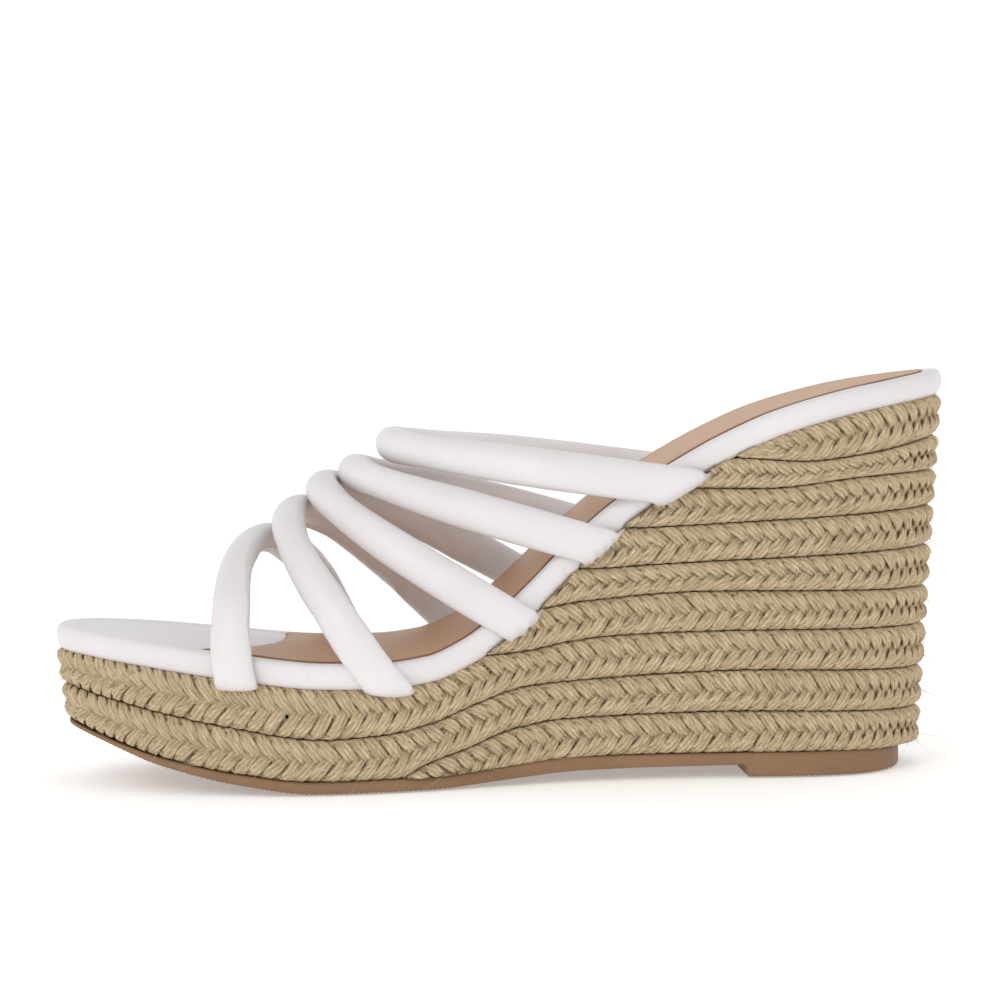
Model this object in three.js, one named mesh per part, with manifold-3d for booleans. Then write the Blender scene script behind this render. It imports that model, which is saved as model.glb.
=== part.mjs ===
// A wedge sandal for the right foot, in millimetres, with +Z up.
// The toe points to -X and the big-toe side faces -Y. The sandal stands on Z = 0.
// It is built as a shoemaker builds it: a rubber outsole, a light wedge core wrapped in rows of
// braided jute, a board and foam footbed inside a stitched wrap, and five stuffed straps whose
// flat tails are cemented under the footbed.
import * as THREE from 'three';
import { mergeVertices } from 'three/addons/utils/BufferGeometryUtils.js';
import Module from 'manifold-3d';

const wasm = await Module();
wasm.setup();

// ---------------------------------------------------------------- driving dimensions
const TOE_X = -118; // tip of the footbed
const HEEL_X = 117; // back of the footbed
const LENGTH = HEEL_X - TOE_X;
const GAP = 0.3; // room for cement between two pieces
const FACET = 8; // length of one facet along a curved line
const FAR = 200; // reach of the blocks that only trim a piece

const FOOTBED_THICKNESS = 6.5;
const WRAP_SKIN = 1.2; // wrap with its backing, on the top and the sides of the footbed
const WRAP_MARGIN = 9; // width of the wrap's lasted margin under the footbed
const MARGIN_SKIN = 1.0;
const BOARD_THICKNESS = 1.6;
const SOCK_THICKNESS = 0.5;
const SOCK_INSET = 4.8; // plain border of wrap that shows around the sock lining

const SHANK = { front: -22, back: 70, centreY: 3, width: 12 };

const BRAID_DEPTH = 5; // thickness of one row of braid
const BRAID_OVERHANG = 0.8; // how far the braid stands outside the footbed
const HEEL_LEAN = 0.075; // the back of the wedge leans in by this much for each mm down
const LEAN_START_X = 62; // the lean fades out at this place
const LEAN_TOP_Z = 98;
const TOE_LEAN = 0.13; // the front of the wedge leans in as well
const TOE_LEAN_END_X = -92;
const TOE_LEAN_TOP_Z = 34;

const OUTSOLE_SET_IN = 0.6; // the outsole stays a little inside the braid
const HEEL_PAD_FRONT = 60.3;
const HEEL_PAD_SET_IN = 12; // the heel pad ends this far ahead of the footbed's back

const STRAP_WIDTH = 10.6; // a strap as it lies on the foot
const STRAP_CREST_WIDTH = 8.8; // squeezed between its neighbours on top of the foot
const STRAP_END_WIDTH = 11.6; // pressed flatter where it wraps the footbed's edge
const STRAP_END_THICKNESS = 5;
const STRAP_SKIN = 1.0;
const STRAP_SIDES = 10;
const TAIL_THICKNESS = 1.2;
const TAIL_LENGTH = 10; // reach of a strap's flat tail under the footbed

// Strap ends (near is the big-toe side) and crest, from the toe to the instep.
const STRAPS = [
  { near: -68, far: -39, crestX: -62.4, crestZ: 61.8, thickness: 7 },
  { near: -28.5, far: -8.5, crestX: -54.3, crestZ: 68.7, thickness: 7.6 },
  { near: 3.4, far: 10, crestX: -46.5, crestZ: 74.9, thickness: 8 },
  { near: 24, far: 25.5, crestX: -37.9, crestZ: 78.9, thickness: 8.8 },
  { near: 45.5, far: 47, crestX: -27.8, crestZ: 85.9, thickness: 9.4 },
];
const FOOT_TOP_NORMAL = new THREE.Vector3(-0.6, 0, 0.8); // away from the top of the foot

// ---------------------------------------------------------------- curves
// A smooth function through points (x, y) that never overshoots between two of them.
function profile(points) {
  const slopes = points.slice(1).map(([x, y], i) => (y - points[i][1]) / (x - points[i][0]));
  const tangents = points.map((_, i) => {
    if (i === 0) return slopes[0];
    if (i === slopes.length) return slopes[i - 1];
    const [before, after] = [slopes[i - 1], slopes[i]];
    return before * after <= 0 ? 0 : (2 * before * after) / (before + after);
  });
  return (x) => {
    let i = points.findIndex((point) => point[0] >= x) - 1;
    if (x <= points[0][0]) i = 0;
    if (x >= points[points.length - 1][0]) i = points.length - 2;
    const [x0, y0] = points[i];
    const [x1, y1] = points[i + 1];
    const width = x1 - x0;
    const t = (x - x0) / width;
    if (t <= 0) return y0 + tangents[i] * (x - x0);
    if (t >= 1) return y1 + tangents[i + 1] * (x - x1);
    const s = 1 - t;
    return y0 * s * s * (1 + 2 * t) + y1 * t * t * (1 + 2 * s)
      + width * t * s * (tangents[i] * s - tangents[i + 1] * t);
  };
}

// Underside of the footbed, seen from the side: toe spring, ball, steep arch, heel seat.
const footbedUnderside = profile([
  [-117, 34.6], [-95, 31.9], [-70, 28.6], [-48, 26.2], [-32, 25.9], [-20, 27.3], [-10, 31.2],
  [0, 37.8], [10, 46.6], [20, 56.4], [30, 65], [42, 73], [58, 82], [72, 88], [92, 93.3], [117, 97.4],
]);

// Ground side of the outsole ahead of the heel pad, and the joint between outsole and braid.
const outsoleUnderside = profile([
  [-117, 15.6], [-104, 11.4], [-88, 6.4], [-70, 2.4], [-50, 0], [-22, 0], [-4, 1.2], [18, 2.7], [61, 3.1],
]);
const outsoleTop = profile([
  [-117, 16.7], [-104, 12.7], [-88, 8.5], [-70, 5.1], [-50, 3], [-22, 3.3], [-4, 4.8], [18, 6.2], [117, 6.2],
]);

// Joints between one row of braid and the next, from the ground up.
const ROW_JOINTS = [
  [[-130, -30], [-29, 2.6], [-22, 6.4], [-10, 10.3], [0, 14], [14, 16.1], [60, 16.9], [118, 15.4]],
  [[-118, 26], [-98, 21.8], [-72, 16.8], [-48, 13.6], [-34, 14.2], [-21, 16.6], [-9, 21],
    [4, 24.9], [20, 26], [62, 27.5], [118, 26]],
  [[-130, 44], [-20, 35.6], [-6, 33.3], [4, 33.9], [16, 36], [30, 37.2], [65, 37.8], [118, 37.2]],
  [[-130, 46], [7, 44.6], [18, 46], [50, 48], [118, 47]],
  [[-130, 56], [20, 54.4], [45, 55.4], [118, 58]],
  [[-130, 66], [31, 64.6], [68, 66], [118, 68.4]],
  [[-130, 77], [45, 74.6], [66, 74.2], [95, 76.8], [118, 77.6]],
  [[-130, 86], [58, 82.2], [78, 81], [94, 82.6], [118, 87]],
].map(profile);
const ROW_COUNT = ROW_JOINTS.length + 1;

// Half widths of the footbed against the share of its length from the toe.
const NEAR_SIDE = [
  [0.01, 7], [0.05, 19], [0.1, 28], [0.17, 35.8], [0.25, 40.6], [0.32, 41.4], [0.4, 38.6], [0.5, 32],
  [0.6, 27.5], [0.72, 27], [0.84, 28.6], [0.92, 25], [0.97, 16.5], [0.995, 6],
];
const FAR_SIDE = [
  [0.012, 9], [0.035, 19], [0.06, 24.5], [0.12, 32], [0.2, 38], [0.3, 41.6], [0.38, 42], [0.5, 38],
  [0.6, 33.5], [0.72, 29.6], [0.84, 28.6], [0.92, 25], [0.97, 16.5], [0.995, 6],
];
const OUTLINE_STEPS = 46;
const alongShoe = (share) => TOE_X + share * LENGTH;
const nearHalfWidth = profile(NEAR_SIDE.map(([share, half]) => [alongShoe(share), half]));
const farHalfWidth = profile(FAR_SIDE.map(([share, half]) => [alongShoe(share), half]));

const footbedOutline = new THREE.CatmullRomCurve3([
  ...NEAR_SIDE.map(([share, half]) => new THREE.Vector3(alongShoe(share), -half, 0)),
  ...FAR_SIDE.toReversed().map(([share, half]) => new THREE.Vector3(alongShoe(share), half, 0)),
], true, 'centripetal');

// The footbed's outline seen from above, moved in by inset, with its heel pulled in by heelCut.
function outlinePoints(inset, heelCut = 0) {
  return Array.from({ length: OUTLINE_STEPS }, (_, i) => {
    const point = footbedOutline.getPoint(i / OUTLINE_STEPS);
    const tangent = footbedOutline.getTangent(i / OUTLINE_STEPS);
    const x = point.x - tangent.y * inset;
    const y = point.y + tangent.x * inset;
    return new THREE.Vector2(x - heelCut * heelShare(x) ** 2, y);
  });
}

function heelShare(x) {
  return THREE.MathUtils.clamp((x - LEAN_START_X) / (HEEL_X - LEAN_START_X), 0, 1);
}

function toeShare(x) {
  return THREE.MathUtils.clamp((TOE_LEAN_END_X - x) / (TOE_LEAN_END_X - TOE_X), 0, 1);
}

// ---------------------------------------------------------------- solids
function solidOf(geometry) {
  const bare = geometry.clone();
  bare.deleteAttribute('normal');
  bare.deleteAttribute('uv');
  const merged = mergeVertices(bare, 1e-4);
  return new wasm.Manifold(new wasm.Mesh({
    numProp: 3,
    vertProperties: new Float32Array(merged.attributes.position.array),
    triVerts: new Uint32Array(merged.index.array),
  }));
}

function geometryOf(solid) {
  const mesh = solid.getMesh();
  const geometry = new THREE.BufferGeometry();
  geometry.setAttribute('position', new THREE.BufferAttribute(mesh.vertProperties, 3));
  geometry.setIndex(new THREE.BufferAttribute(mesh.triVerts, 1));
  geometry.computeVertexNormals();
  return geometry;
}

// A block with the given outline as seen from above.
function planBlock(points) {
  const block = new THREE.ExtrudeGeometry(new THREE.Shape(points), { depth: FAR, bevelEnabled: false });
  block.translate(0, 0, -FAR / 4);
  return solidOf(block);
}

// A block with the given outline as seen from the side.
function sideBlock(points) {
  const outline = points.map(([x, z]) => new THREE.Vector2(x, z));
  const block = new THREE.ExtrudeGeometry(new THREE.Shape(outline), { depth: FAR, bevelEnabled: false });
  block.rotateX(Math.PI / 2);
  block.translate(0, FAR / 2, 0);
  return solidOf(block);
}

function linePoints(line, from, to, step) {
  const count = Math.round((to - from) / step);
  return Array.from({ length: count + 1 }, (_, i) => {
    const x = from + (i * (to - from)) / count;
    return [x, line(x)];
  });
}

// Everything under a line seen from the side.
function below(line, shift = 0) {
  const top = linePoints(line, -120, 120, FACET).map(([x, z]) => [x, z + shift]);
  return sideBlock([[-120, -40], [120, -40], ...top.reverse()]);
}

// A point that stands at a height above the footbed's underside, measured square to it.
function aboveUnderside(x, height) {
  const slope = footbedUnderside(x + 0.5) - footbedUnderside(x - 0.5);
  const run = Math.hypot(1, slope);
  return [x - (height * slope) / run, footbedUnderside(x) + height / run];
}

// A layer of the footbed between two heights, as wide as the given outline.
function footbedLayer(bottom, top, inset) {
  const stations = linePoints(footbedUnderside, -124, 130, FACET).map(([x]) => x);
  const lower = stations.map((x) => aboveUnderside(x, bottom));
  const upper = stations.map((x) => aboveUnderside(x, top));
  return sideBlock([...lower, ...upper.reverse()]).intersect(planBlock(outlinePoints(inset)));
}

// ---------------------------------------------------------------- outsole and wedge
function outsole() {
  const ahead = linePoints(outsoleUnderside, -120, HEEL_PAD_FRONT, FACET);
  const top = linePoints(outsoleTop, -120, 120, FACET);
  const slab = sideBlock([...ahead, [HEEL_PAD_FRONT + 0.7, 0], [120, 0], ...top.reverse()]);
  return slab.intersect(planBlock(outlinePoints(OUTSOLE_SET_IN, HEEL_PAD_SET_IN)));
}

// The space between the outsole and the footbed.
function wedgeSpace() {
  return below(footbedUnderside, -GAP).subtract(below(outsoleTop, GAP));
}

function braidRow(index, wedge) {
  const ring = planBlock(outlinePoints(-BRAID_OVERHANG)).subtract(planBlock(outlinePoints(BRAID_DEPTH)));
  let row = wedge.intersect(ring);
  if (index > 0) row = row.subtract(below(ROW_JOINTS[index - 1], GAP / 2));
  if (index < ROW_JOINTS.length) row = row.intersect(below(ROW_JOINTS[index], -GAP / 2));
  return largestBody(row);
}

// Drops the slivers that a strap's pocket cuts off the thin front end of a row.
function largestBody(solid) {
  return solid.decompose().sort((a, b) => b.volume() - a.volume())[0];
}

function wedgeCore(wedge) {
  return wedge.intersect(planBlock(outlinePoints(BRAID_DEPTH + GAP)));
}

// Moves the ends of the wedge towards its middle, more at the ground than at the top.
function leanEnds(geometry, heelLean = HEEL_LEAN) {
  const position = geometry.attributes.position;
  for (let i = 0; i < position.count; i += 1) {
    const x = position.getX(i);
    const heelDrop = Math.max(LEAN_TOP_Z - position.getZ(i), 0);
    const toeDrop = Math.max(TOE_LEAN_TOP_Z - position.getZ(i), 0);
    position.setX(i, x - heelLean * heelDrop * heelShare(x) + TOE_LEAN * toeDrop * toeShare(x));
  }
  geometry.computeVertexNormals();
  return geometry;
}

// ---------------------------------------------------------------- footbed
function footbedWrap() {
  const skin = footbedLayer(0, FOOTBED_THICKNESS, 0);
  const inside = footbedLayer(MARGIN_SKIN, FOOTBED_THICKNESS - WRAP_SKIN, WRAP_SKIN);
  return skin.subtract(inside).subtract(footbedLayer(-1, MARGIN_SKIN + 0.1, WRAP_MARGIN));
}

function insoleBoard() {
  return footbedLayer(MARGIN_SKIN + GAP, MARGIN_SKIN + GAP + BOARD_THICKNESS, WRAP_SKIN + GAP);
}

function footbedFoam() {
  const bottom = MARGIN_SKIN + 2 * GAP + BOARD_THICKNESS;
  return footbedLayer(bottom, FOOTBED_THICKNESS - WRAP_SKIN - GAP, WRAP_SKIN + GAP);
}

// The steel strip that stiffens the arch, in the opening of the wrap's lasted margin.
function shank() {
  const strip = new THREE.Shape();
  const half = SHANK.width / 2;
  strip.absarc(SHANK.front + half, SHANK.centreY, half, Math.PI / 2, -Math.PI / 2);
  strip.absarc(SHANK.back - half, SHANK.centreY, half, -Math.PI / 2, Math.PI / 2);
  return footbedLayer(0, MARGIN_SKIN, WRAP_MARGIN + GAP).intersect(planBlock(strip.getPoints(6)));
}

// The thin lining under the foot. Its front edge runs across the ball in a slanted curve.
function sockLining() {
  const front = new THREE.QuadraticBezierCurve(
    new THREE.Vector2(-97, -45), new THREE.Vector2(-51, -14), new THREE.Vector2(-58, 45));
  const cover = [...front.getPoints(10), new THREE.Vector2(130, 45), new THREE.Vector2(130, -45)];
  const bottom = FOOTBED_THICKNESS + GAP;
  return footbedLayer(bottom, bottom + SOCK_THICKNESS, SOCK_INSET).intersect(planBlock(cover.reverse()));
}

// ---------------------------------------------------------------- straps
// A strap's middle line is half an ellipse that leans forward: it leaves the near edge of the
// footbed, passes over the foot at the crest and comes down to the far edge.
function strapFrame(strap) {
  const clear = GAP + STRAP_END_THICKNESS / 2;
  const near = new THREE.Vector3(
    strap.near, -nearHalfWidth(strap.near) - clear, footbedUnderside(strap.near));
  const far = new THREE.Vector3(strap.far, farHalfWidth(strap.far) + clear, footbedUnderside(strap.far));
  const middle = near.clone().add(far).multiplyScalar(0.5);
  const rise = new THREE.Vector3(strap.crestX, middle.y, strap.crestZ).sub(middle);
  const reach = near.clone().sub(far).multiplyScalar(0.5);
  return { middle, rise, reach };
}

const STRAP_STEPS = 16;
const RUN_OUT = 7; // each end goes on past its place at the footbed's edge

// The point at a turn from -1, the far edge, through 0, the crest, to 1, the near edge.
function strapPoint({ middle, rise, reach }, turn) {
  const angle = THREE.MathUtils.clamp(turn, -1, 1) * (Math.PI / 2);
  const past = Math.max(Math.abs(turn) - 1, 0) * (Math.PI / 2);
  return middle.clone()
    .addScaledVector(rise, Math.cos(angle) - past)
    .addScaledVector(reach, Math.sin(angle));
}

// A closed tube along the strap, thinner than its full size by trim on every side.
function strapTube(strap, trim) {
  const frame = strapFrame(strap);
  const lastTurn = 1 + RUN_OUT / (frame.rise.length() * (Math.PI / 2));
  const positions = [];
  for (let i = 0; i <= STRAP_STEPS; i += 1) {
    const turn = lastTurn * ((2 * i) / STRAP_STEPS - 1);
    const centre = strapPoint(frame, turn);
    const along = strapPoint(frame, turn + 0.01).sub(strapPoint(frame, turn - 0.01)).normalize();
    const angle = THREE.MathUtils.clamp(turn, -1, 1) * (Math.PI / 2);
    const outward = FOOT_TOP_NORMAL.clone().multiplyScalar(Math.cos(angle));
    outward.y -= Math.sin(angle);
    outward.addScaledVector(along, -outward.dot(along)).normalize();
    const across = along.clone().cross(outward);
    const pressed = THREE.MathUtils.smoothstep(Math.abs(turn), 0.6, 1);
    const free = THREE.MathUtils.smoothstep(Math.abs(turn), 0.25, 0.65);
    const freeWidth = THREE.MathUtils.lerp(STRAP_CREST_WIDTH, STRAP_WIDTH, free);
    const width = THREE.MathUtils.lerp(freeWidth, STRAP_END_WIDTH, pressed) / 2 - trim;
    const height = THREE.MathUtils.lerp(strap.thickness, STRAP_END_THICKNESS, pressed) / 2 - trim;
    for (let j = 0; j < STRAP_SIDES; j += 1) {
      const around = (j / STRAP_SIDES) * 2 * Math.PI;
      const point = centre.clone()
        .addScaledVector(across, width * Math.cos(around))
        .addScaledVector(outward, height * Math.sin(around));
      positions.push(...point.toArray());
    }
  }
  return solidOf(tubeGeometry(positions));
}

// Joins the rings of points into a closed tube with a flat cap at each end.
function tubeGeometry(positions) {
  const index = [];
  for (let i = 0; i < STRAP_STEPS; i += 1) {
    for (let j = 0; j < STRAP_SIDES; j += 1) {
      const a = i * STRAP_SIDES + j;
      const b = i * STRAP_SIDES + ((j + 1) % STRAP_SIDES);
      index.push(a, a + STRAP_SIDES, b, b, a + STRAP_SIDES, b + STRAP_SIDES);
    }
  }
  const last = STRAP_STEPS * STRAP_SIDES;
  for (let j = 1; j < STRAP_SIDES - 1; j += 1) {
    index.push(0, j, j + 1);
    index.push(last, last + j + 1, last + j);
  }
  const geometry = new THREE.BufferGeometry();
  geometry.setAttribute('position', new THREE.Float32BufferAttribute(positions, 3));
  geometry.setIndex(index);
  return geometry;
}

// The flat tail of one strap end, under the footbed. Grow makes the pocket that takes it.
function strapTail(strap, side, grow) {
  const x = side < 0 ? strap.near : strap.far;
  const edge = side < 0 ? nearHalfWidth(x) : farHalfWidth(x);
  const half = STRAP_END_WIDTH / 2 + grow;
  const top = grow > 0 ? 2 : -GAP;
  const bottom = -GAP - TAIL_THICKNESS - grow;
  const stations = [-1, -0.5, 0, 0.5, 1].map((share) => x + share * half);
  const lower = stations.map((station) => [station, footbedUnderside(station) + bottom]);
  const upper = stations.map((station) => [station, footbedUnderside(station) + top]);
  const band = new THREE.BoxGeometry(60, TAIL_LENGTH + STRAP_END_THICKNESS + 2 * grow, 300);
  band.translate(x, side * (edge + (STRAP_END_THICKNESS - TAIL_LENGTH) / 2), 0);
  return sideBlock([...lower, ...upper.reverse()]).intersect(solidOf(band));
}

function strapCover(strap) {
  const floor = below(footbedUnderside, -GAP - TAIL_THICKNESS);
  const footbed = footbedLayer(-GAP, FOOTBED_THICKNESS + GAP, -GAP);
  return strapTube(strap, 0)
    .subtract(floor)
    .subtract(footbed)
    .add(strapTail(strap, -1, 0))
    .add(strapTail(strap, 1, 0))
    .subtract(strapTube(strap, STRAP_SKIN));
}

function strapStuffing(strap) {
  const floor = below(footbedUnderside, 1);
  const footbed = footbedLayer(-GAP, FOOTBED_THICKNESS + GAP, -GAP - STRAP_SKIN);
  return strapTube(strap, STRAP_SKIN + GAP).subtract(floor).subtract(footbed);
}

// Room in the wedge for a strap's ends and tails.
function strapPocket(strap) {
  const floor = below(footbedUnderside, -2 * GAP - TAIL_THICKNESS);
  const ends = strapTube(strap, -GAP).subtract(floor);
  return ends.add(strapTail(strap, -1, GAP)).add(strapTail(strap, 1, GAP));
}

// ---------------------------------------------------------------- materials
const finish = (color, roughness, metalness = 0) => new THREE.MeshStandardMaterial({
  color: new THREE.Color(color), roughness, metalness,
});
const MATERIALS = {
  rubber: finish('#8f6e53', 0.75),
  jute: finish('#b09a7b', 0.95),
  core: finish('#6e5a42', 0.95),
  wrap: finish('#e8e4e3', 0.45),
  lining: finish('#d6b79e', 0.6),
  board: finish('#b8a07c', 0.85),
  foam: finish('#f2e9c8', 0.95),
  steel: finish('#9a9c9e', 0.35, 1),
  stuffing: finish('#f4f2ee', 0.95),
};

// ---------------------------------------------------------------- assembly
const sandal = new THREE.Group();
sandal.name = 'wedge_sandal';

function place(name, geometry, material) {
  const mesh = new THREE.Mesh(geometry, material);
  mesh.name = name;
  sandal.add(mesh);
}

place('outsole', leanEnds(geometryOf(outsole()), 0), MATERIALS.rubber);

const pockets = STRAPS.map(strapPocket).reduce((all, pocket) => all.add(pocket));
const wedge = wedgeSpace().subtract(pockets);
place('wedge_core', leanEnds(geometryOf(wedgeCore(wedge))), MATERIALS.core);
for (let index = 0; index < ROW_COUNT; index += 1) {
  place(`jute_row_${index + 1}`, leanEnds(geometryOf(braidRow(index, wedge))), MATERIALS.jute);
}

place('footbed_wrap', geometryOf(footbedWrap()), MATERIALS.wrap);
place('insole_board', geometryOf(insoleBoard()), MATERIALS.board);
place('steel_shank', geometryOf(shank()), MATERIALS.steel);
place('footbed_foam', geometryOf(footbedFoam()), MATERIALS.foam);
place('sock_lining', geometryOf(sockLining()), MATERIALS.lining);

STRAPS.forEach((strap, index) => {
  place(`strap_${index + 1}_cover`, geometryOf(strapCover(strap)), MATERIALS.wrap);
  place(`strap_${index + 1}_stuffing`, geometryOf(strapStuffing(strap)), MATERIALS.stuffing);
});

// The frame's origin is the middle of the sandal's footprint, on the ground.
const box = new THREE.Box3().setFromObject(sandal);
const centre = box.getCenter(new THREE.Vector3());
sandal.position.set(-centre.x, -centre.y, -box.min.z);

export default sandal;
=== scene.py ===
"""The looks of a wedge sandal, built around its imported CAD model.

Lengths in this script are millimetres in the design's own axes, as in the CAD source, and
make_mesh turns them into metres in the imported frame. The toe points to -X, the big-toe side
faces -Y, and the sandal stands on Z = 0.
"""
import math

import bmesh
import bpy
import numpy as np
from mathutils import Matrix, Vector


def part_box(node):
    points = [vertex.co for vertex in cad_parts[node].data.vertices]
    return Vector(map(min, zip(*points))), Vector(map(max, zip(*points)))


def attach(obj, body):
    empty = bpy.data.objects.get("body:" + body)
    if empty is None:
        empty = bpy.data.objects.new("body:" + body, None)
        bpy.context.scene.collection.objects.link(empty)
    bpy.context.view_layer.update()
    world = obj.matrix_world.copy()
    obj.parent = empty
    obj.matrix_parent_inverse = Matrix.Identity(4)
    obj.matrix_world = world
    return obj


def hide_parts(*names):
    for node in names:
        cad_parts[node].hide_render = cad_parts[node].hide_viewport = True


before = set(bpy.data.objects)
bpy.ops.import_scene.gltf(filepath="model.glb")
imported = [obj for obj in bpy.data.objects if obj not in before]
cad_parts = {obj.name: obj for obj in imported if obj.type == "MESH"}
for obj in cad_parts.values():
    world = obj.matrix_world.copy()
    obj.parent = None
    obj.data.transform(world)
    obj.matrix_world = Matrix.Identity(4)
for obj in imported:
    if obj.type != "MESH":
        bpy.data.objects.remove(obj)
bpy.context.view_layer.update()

MM = 0.001
ROOT = "root"

# ------------------------------------------------------------ driving dimensions
TOE_X = -118.0
HEEL_X = 117.0
LENGTH = HEEL_X - TOE_X
SHANK_MIDDLE = np.array([24.0, 3.0])  # where the design has the middle of its steel shank

FOOTBED_THICKNESS = 6.5
SOCK_THICKNESS = 0.5
SOCK_INSET = 4.8

HEEL_LEAN = 0.075
LEAN_START_X = 62.0
LEAN_TOP_Z = 98.0
TOE_LEAN = 0.13
TOE_LEAN_END_X = -92.0
TOE_LEAN_TOP_Z = 34.0

OUTSOLE_SET_IN = 0.6
HEEL_PAD_FRONT = 60.3
HEEL_PAD_SET_IN = 12.0

STRAP_WIDTH = 10.6
STRAP_CREST_WIDTH = 8.8
STRAP_END_WIDTH = 10.0
STRAP_END_THICKNESS = 5.0
STRAPS = [
    dict(near=-68.0, far=-39.0, crest_x=-62.4, crest_z=61.8, thickness=7.0, near_bend=1.5),
    dict(near=-28.5, far=-8.5, crest_x=-54.3, crest_z=68.7, thickness=7.6, near_bend=2.5),
    dict(near=3.4, far=10.0, crest_x=-46.5, crest_z=74.9, thickness=8.0, near_bend=0.0),
    dict(near=24.0, far=25.5, crest_x=-37.9, crest_z=78.9, thickness=8.8, near_bend=0.0),
    dict(near=45.5, far=47.0, crest_x=-27.8, crest_z=85.9, thickness=9.4, near_bend=0.0),
]
FOOT_TOP_NORMAL = np.array([-0.6, 0.0, 0.8])


# ------------------------------------------------------------ curves
def profile(points):
    """A smooth function through points (x, y) that never overshoots between two of them."""
    xs, ys = np.array(points, float).T
    slopes = np.diff(ys) / np.diff(xs)
    total = slopes[:-1] + slopes[1:]
    product = slopes[:-1] * slopes[1:]
    inner = np.where(product <= 0, 0.0, 2 * product / np.where(total == 0, 1, total))
    tangents = np.concatenate([slopes[:1], inner, slopes[-1:]])

    def value(x):
        x = np.asarray(x, float)
        i = np.clip(np.searchsorted(xs, x) - 1, 0, len(xs) - 2)
        width = xs[i + 1] - xs[i]
        t = np.clip((x - xs[i]) / width, 0, 1)
        s = 1 - t
        curve = (
            ys[i] * s * s * (1 + 2 * t)
            + ys[i + 1] * t * t * (1 + 2 * s)
            + width * t * s * (tangents[i] * s - tangents[i + 1] * t)
        )
        before = np.minimum(x - xs[0], 0) * tangents[0]
        after = np.maximum(x - xs[-1], 0) * tangents[-1]
        return curve + before + after

    return value


footbed_underside = profile([
    (-117, 34.6), (-95, 31.9), (-70, 28.6), (-48, 26.2), (-32, 25.9), (-20, 27.3), (-10, 31.2),
    (0, 37.8), (10, 46.6), (20, 56.4), (30, 65), (42, 73), (58, 82), (72, 88), (92, 93.3), (117, 97.4),
])
outsole_underside = profile([
    (-117, 15.6), (-104, 11.4), (-88, 6.4), (-70, 2.4), (-50, 0), (-22, 0), (-4, 1.2), (18, 2.7),
    (61, 3.1),
])
outsole_top = profile([
    (-117, 16.7), (-104, 12.7), (-88, 8.5), (-70, 5.1), (-50, 3), (-22, 3.3), (-4, 4.8), (18, 6.2),
    (117, 6.2),
])
row_joints = [profile(points) for points in (
    [(-130, -30), (-29, 2.6), (-22, 6.4), (-10, 10.3), (0, 14), (14, 16.1), (60, 16.9), (118, 15.4)],
    [(-118, 26), (-98, 21.8), (-72, 16.8), (-48, 13.6), (-34, 14.2), (-21, 16.6), (-9, 21),
     (4, 24.9), (20, 26), (62, 27.5), (118, 26)],
    [(-130, 44), (-20, 35.6), (-6, 33.3), (4, 33.9), (16, 36), (30, 37.2), (65, 37.8), (118, 37.2)],
    [(-130, 46), (7, 44.6), (18, 46), (50, 48), (118, 47)],
    [(-130, 56), (20, 54.4), (45, 55.4), (118, 58)],
    [(-130, 66), (31, 64.6), (68, 66), (118, 68.4)],
    [(-130, 77), (45, 74.6), (66, 74.2), (95, 76.8), (118, 77.6)],
    [(-130, 86), (58, 82.2), (78, 81), (94, 82.6), (118, 87)],
)]
ROW_COUNT = len(row_joints) + 1
FULL_ROWS = (1, 2)  # counted from 0, the rows that run right round the toe as well

NEAR_SIDE = [
    (0.01, 7), (0.05, 19), (0.1, 28), (0.17, 35.8), (0.25, 40.6), (0.32, 41.4), (0.4, 38.6), (0.5, 32),
    (0.6, 27.5), (0.72, 27), (0.84, 28.6), (0.92, 25), (0.97, 16.5), (0.995, 6),
]
FAR_SIDE = [
    (0.012, 9), (0.035, 19), (0.06, 24.5), (0.12, 32), (0.2, 38), (0.3, 41.6), (0.38, 42), (0.5, 38),
    (0.6, 33.5), (0.72, 29.6), (0.84, 28.6), (0.92, 25), (0.97, 16.5), (0.995, 6),
]
near_half_width = profile([(TOE_X + share * LENGTH, half) for share, half in NEAR_SIDE])
far_half_width = profile([(TOE_X + share * LENGTH, half) for share, half in FAR_SIDE])


def closed_curve(points, per_span=40):
    """A centripetal Catmull-Rom curve through a closed ring of points."""
    count = len(points)
    curve = []
    t = np.linspace(0, 1, per_span, endpoint=False)[:, None]
    for i in range(count):
        p0, p1, p2, p3 = (points[(i + k) % count] for k in (-1, 0, 1, 2))
        d0, d1, d2 = (math.sqrt(np.linalg.norm(b - a)) for a, b in ((p0, p1), (p1, p2), (p2, p3)))
        m1 = ((p1 - p0) / d0 - (p2 - p0) / (d0 + d1) + (p2 - p1) / d1) * d1
        m2 = ((p2 - p1) / d1 - (p3 - p1) / (d1 + d2) + (p3 - p2) / d2) * d1
        curve.append(
            (2 * t**3 - 3 * t**2 + 1) * p1 + (t**3 - 2 * t**2 + t) * m1
            + (-2 * t**3 + 3 * t**2) * p2 + (t**3 - t**2) * m2
        )
    return np.concatenate(curve)


def resample(points, count, closed):
    """Points spaced evenly along a line or a ring."""
    ring = np.vstack([points, points[:1]]) if closed else points
    lengths = np.concatenate([[0], np.cumsum(np.linalg.norm(np.diff(ring, axis=0), axis=1))])
    places = np.linspace(0, lengths[-1], count, endpoint=not closed)
    return np.stack([np.interp(places, lengths, ring[:, k]) for k in range(ring.shape[1])], axis=1)


outline = closed_curve(np.array(
    [(TOE_X + share * LENGTH, -half) for share, half in NEAR_SIDE]
    + [(TOE_X + share * LENGTH, half) for share, half in reversed(FAR_SIDE)]
))


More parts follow.
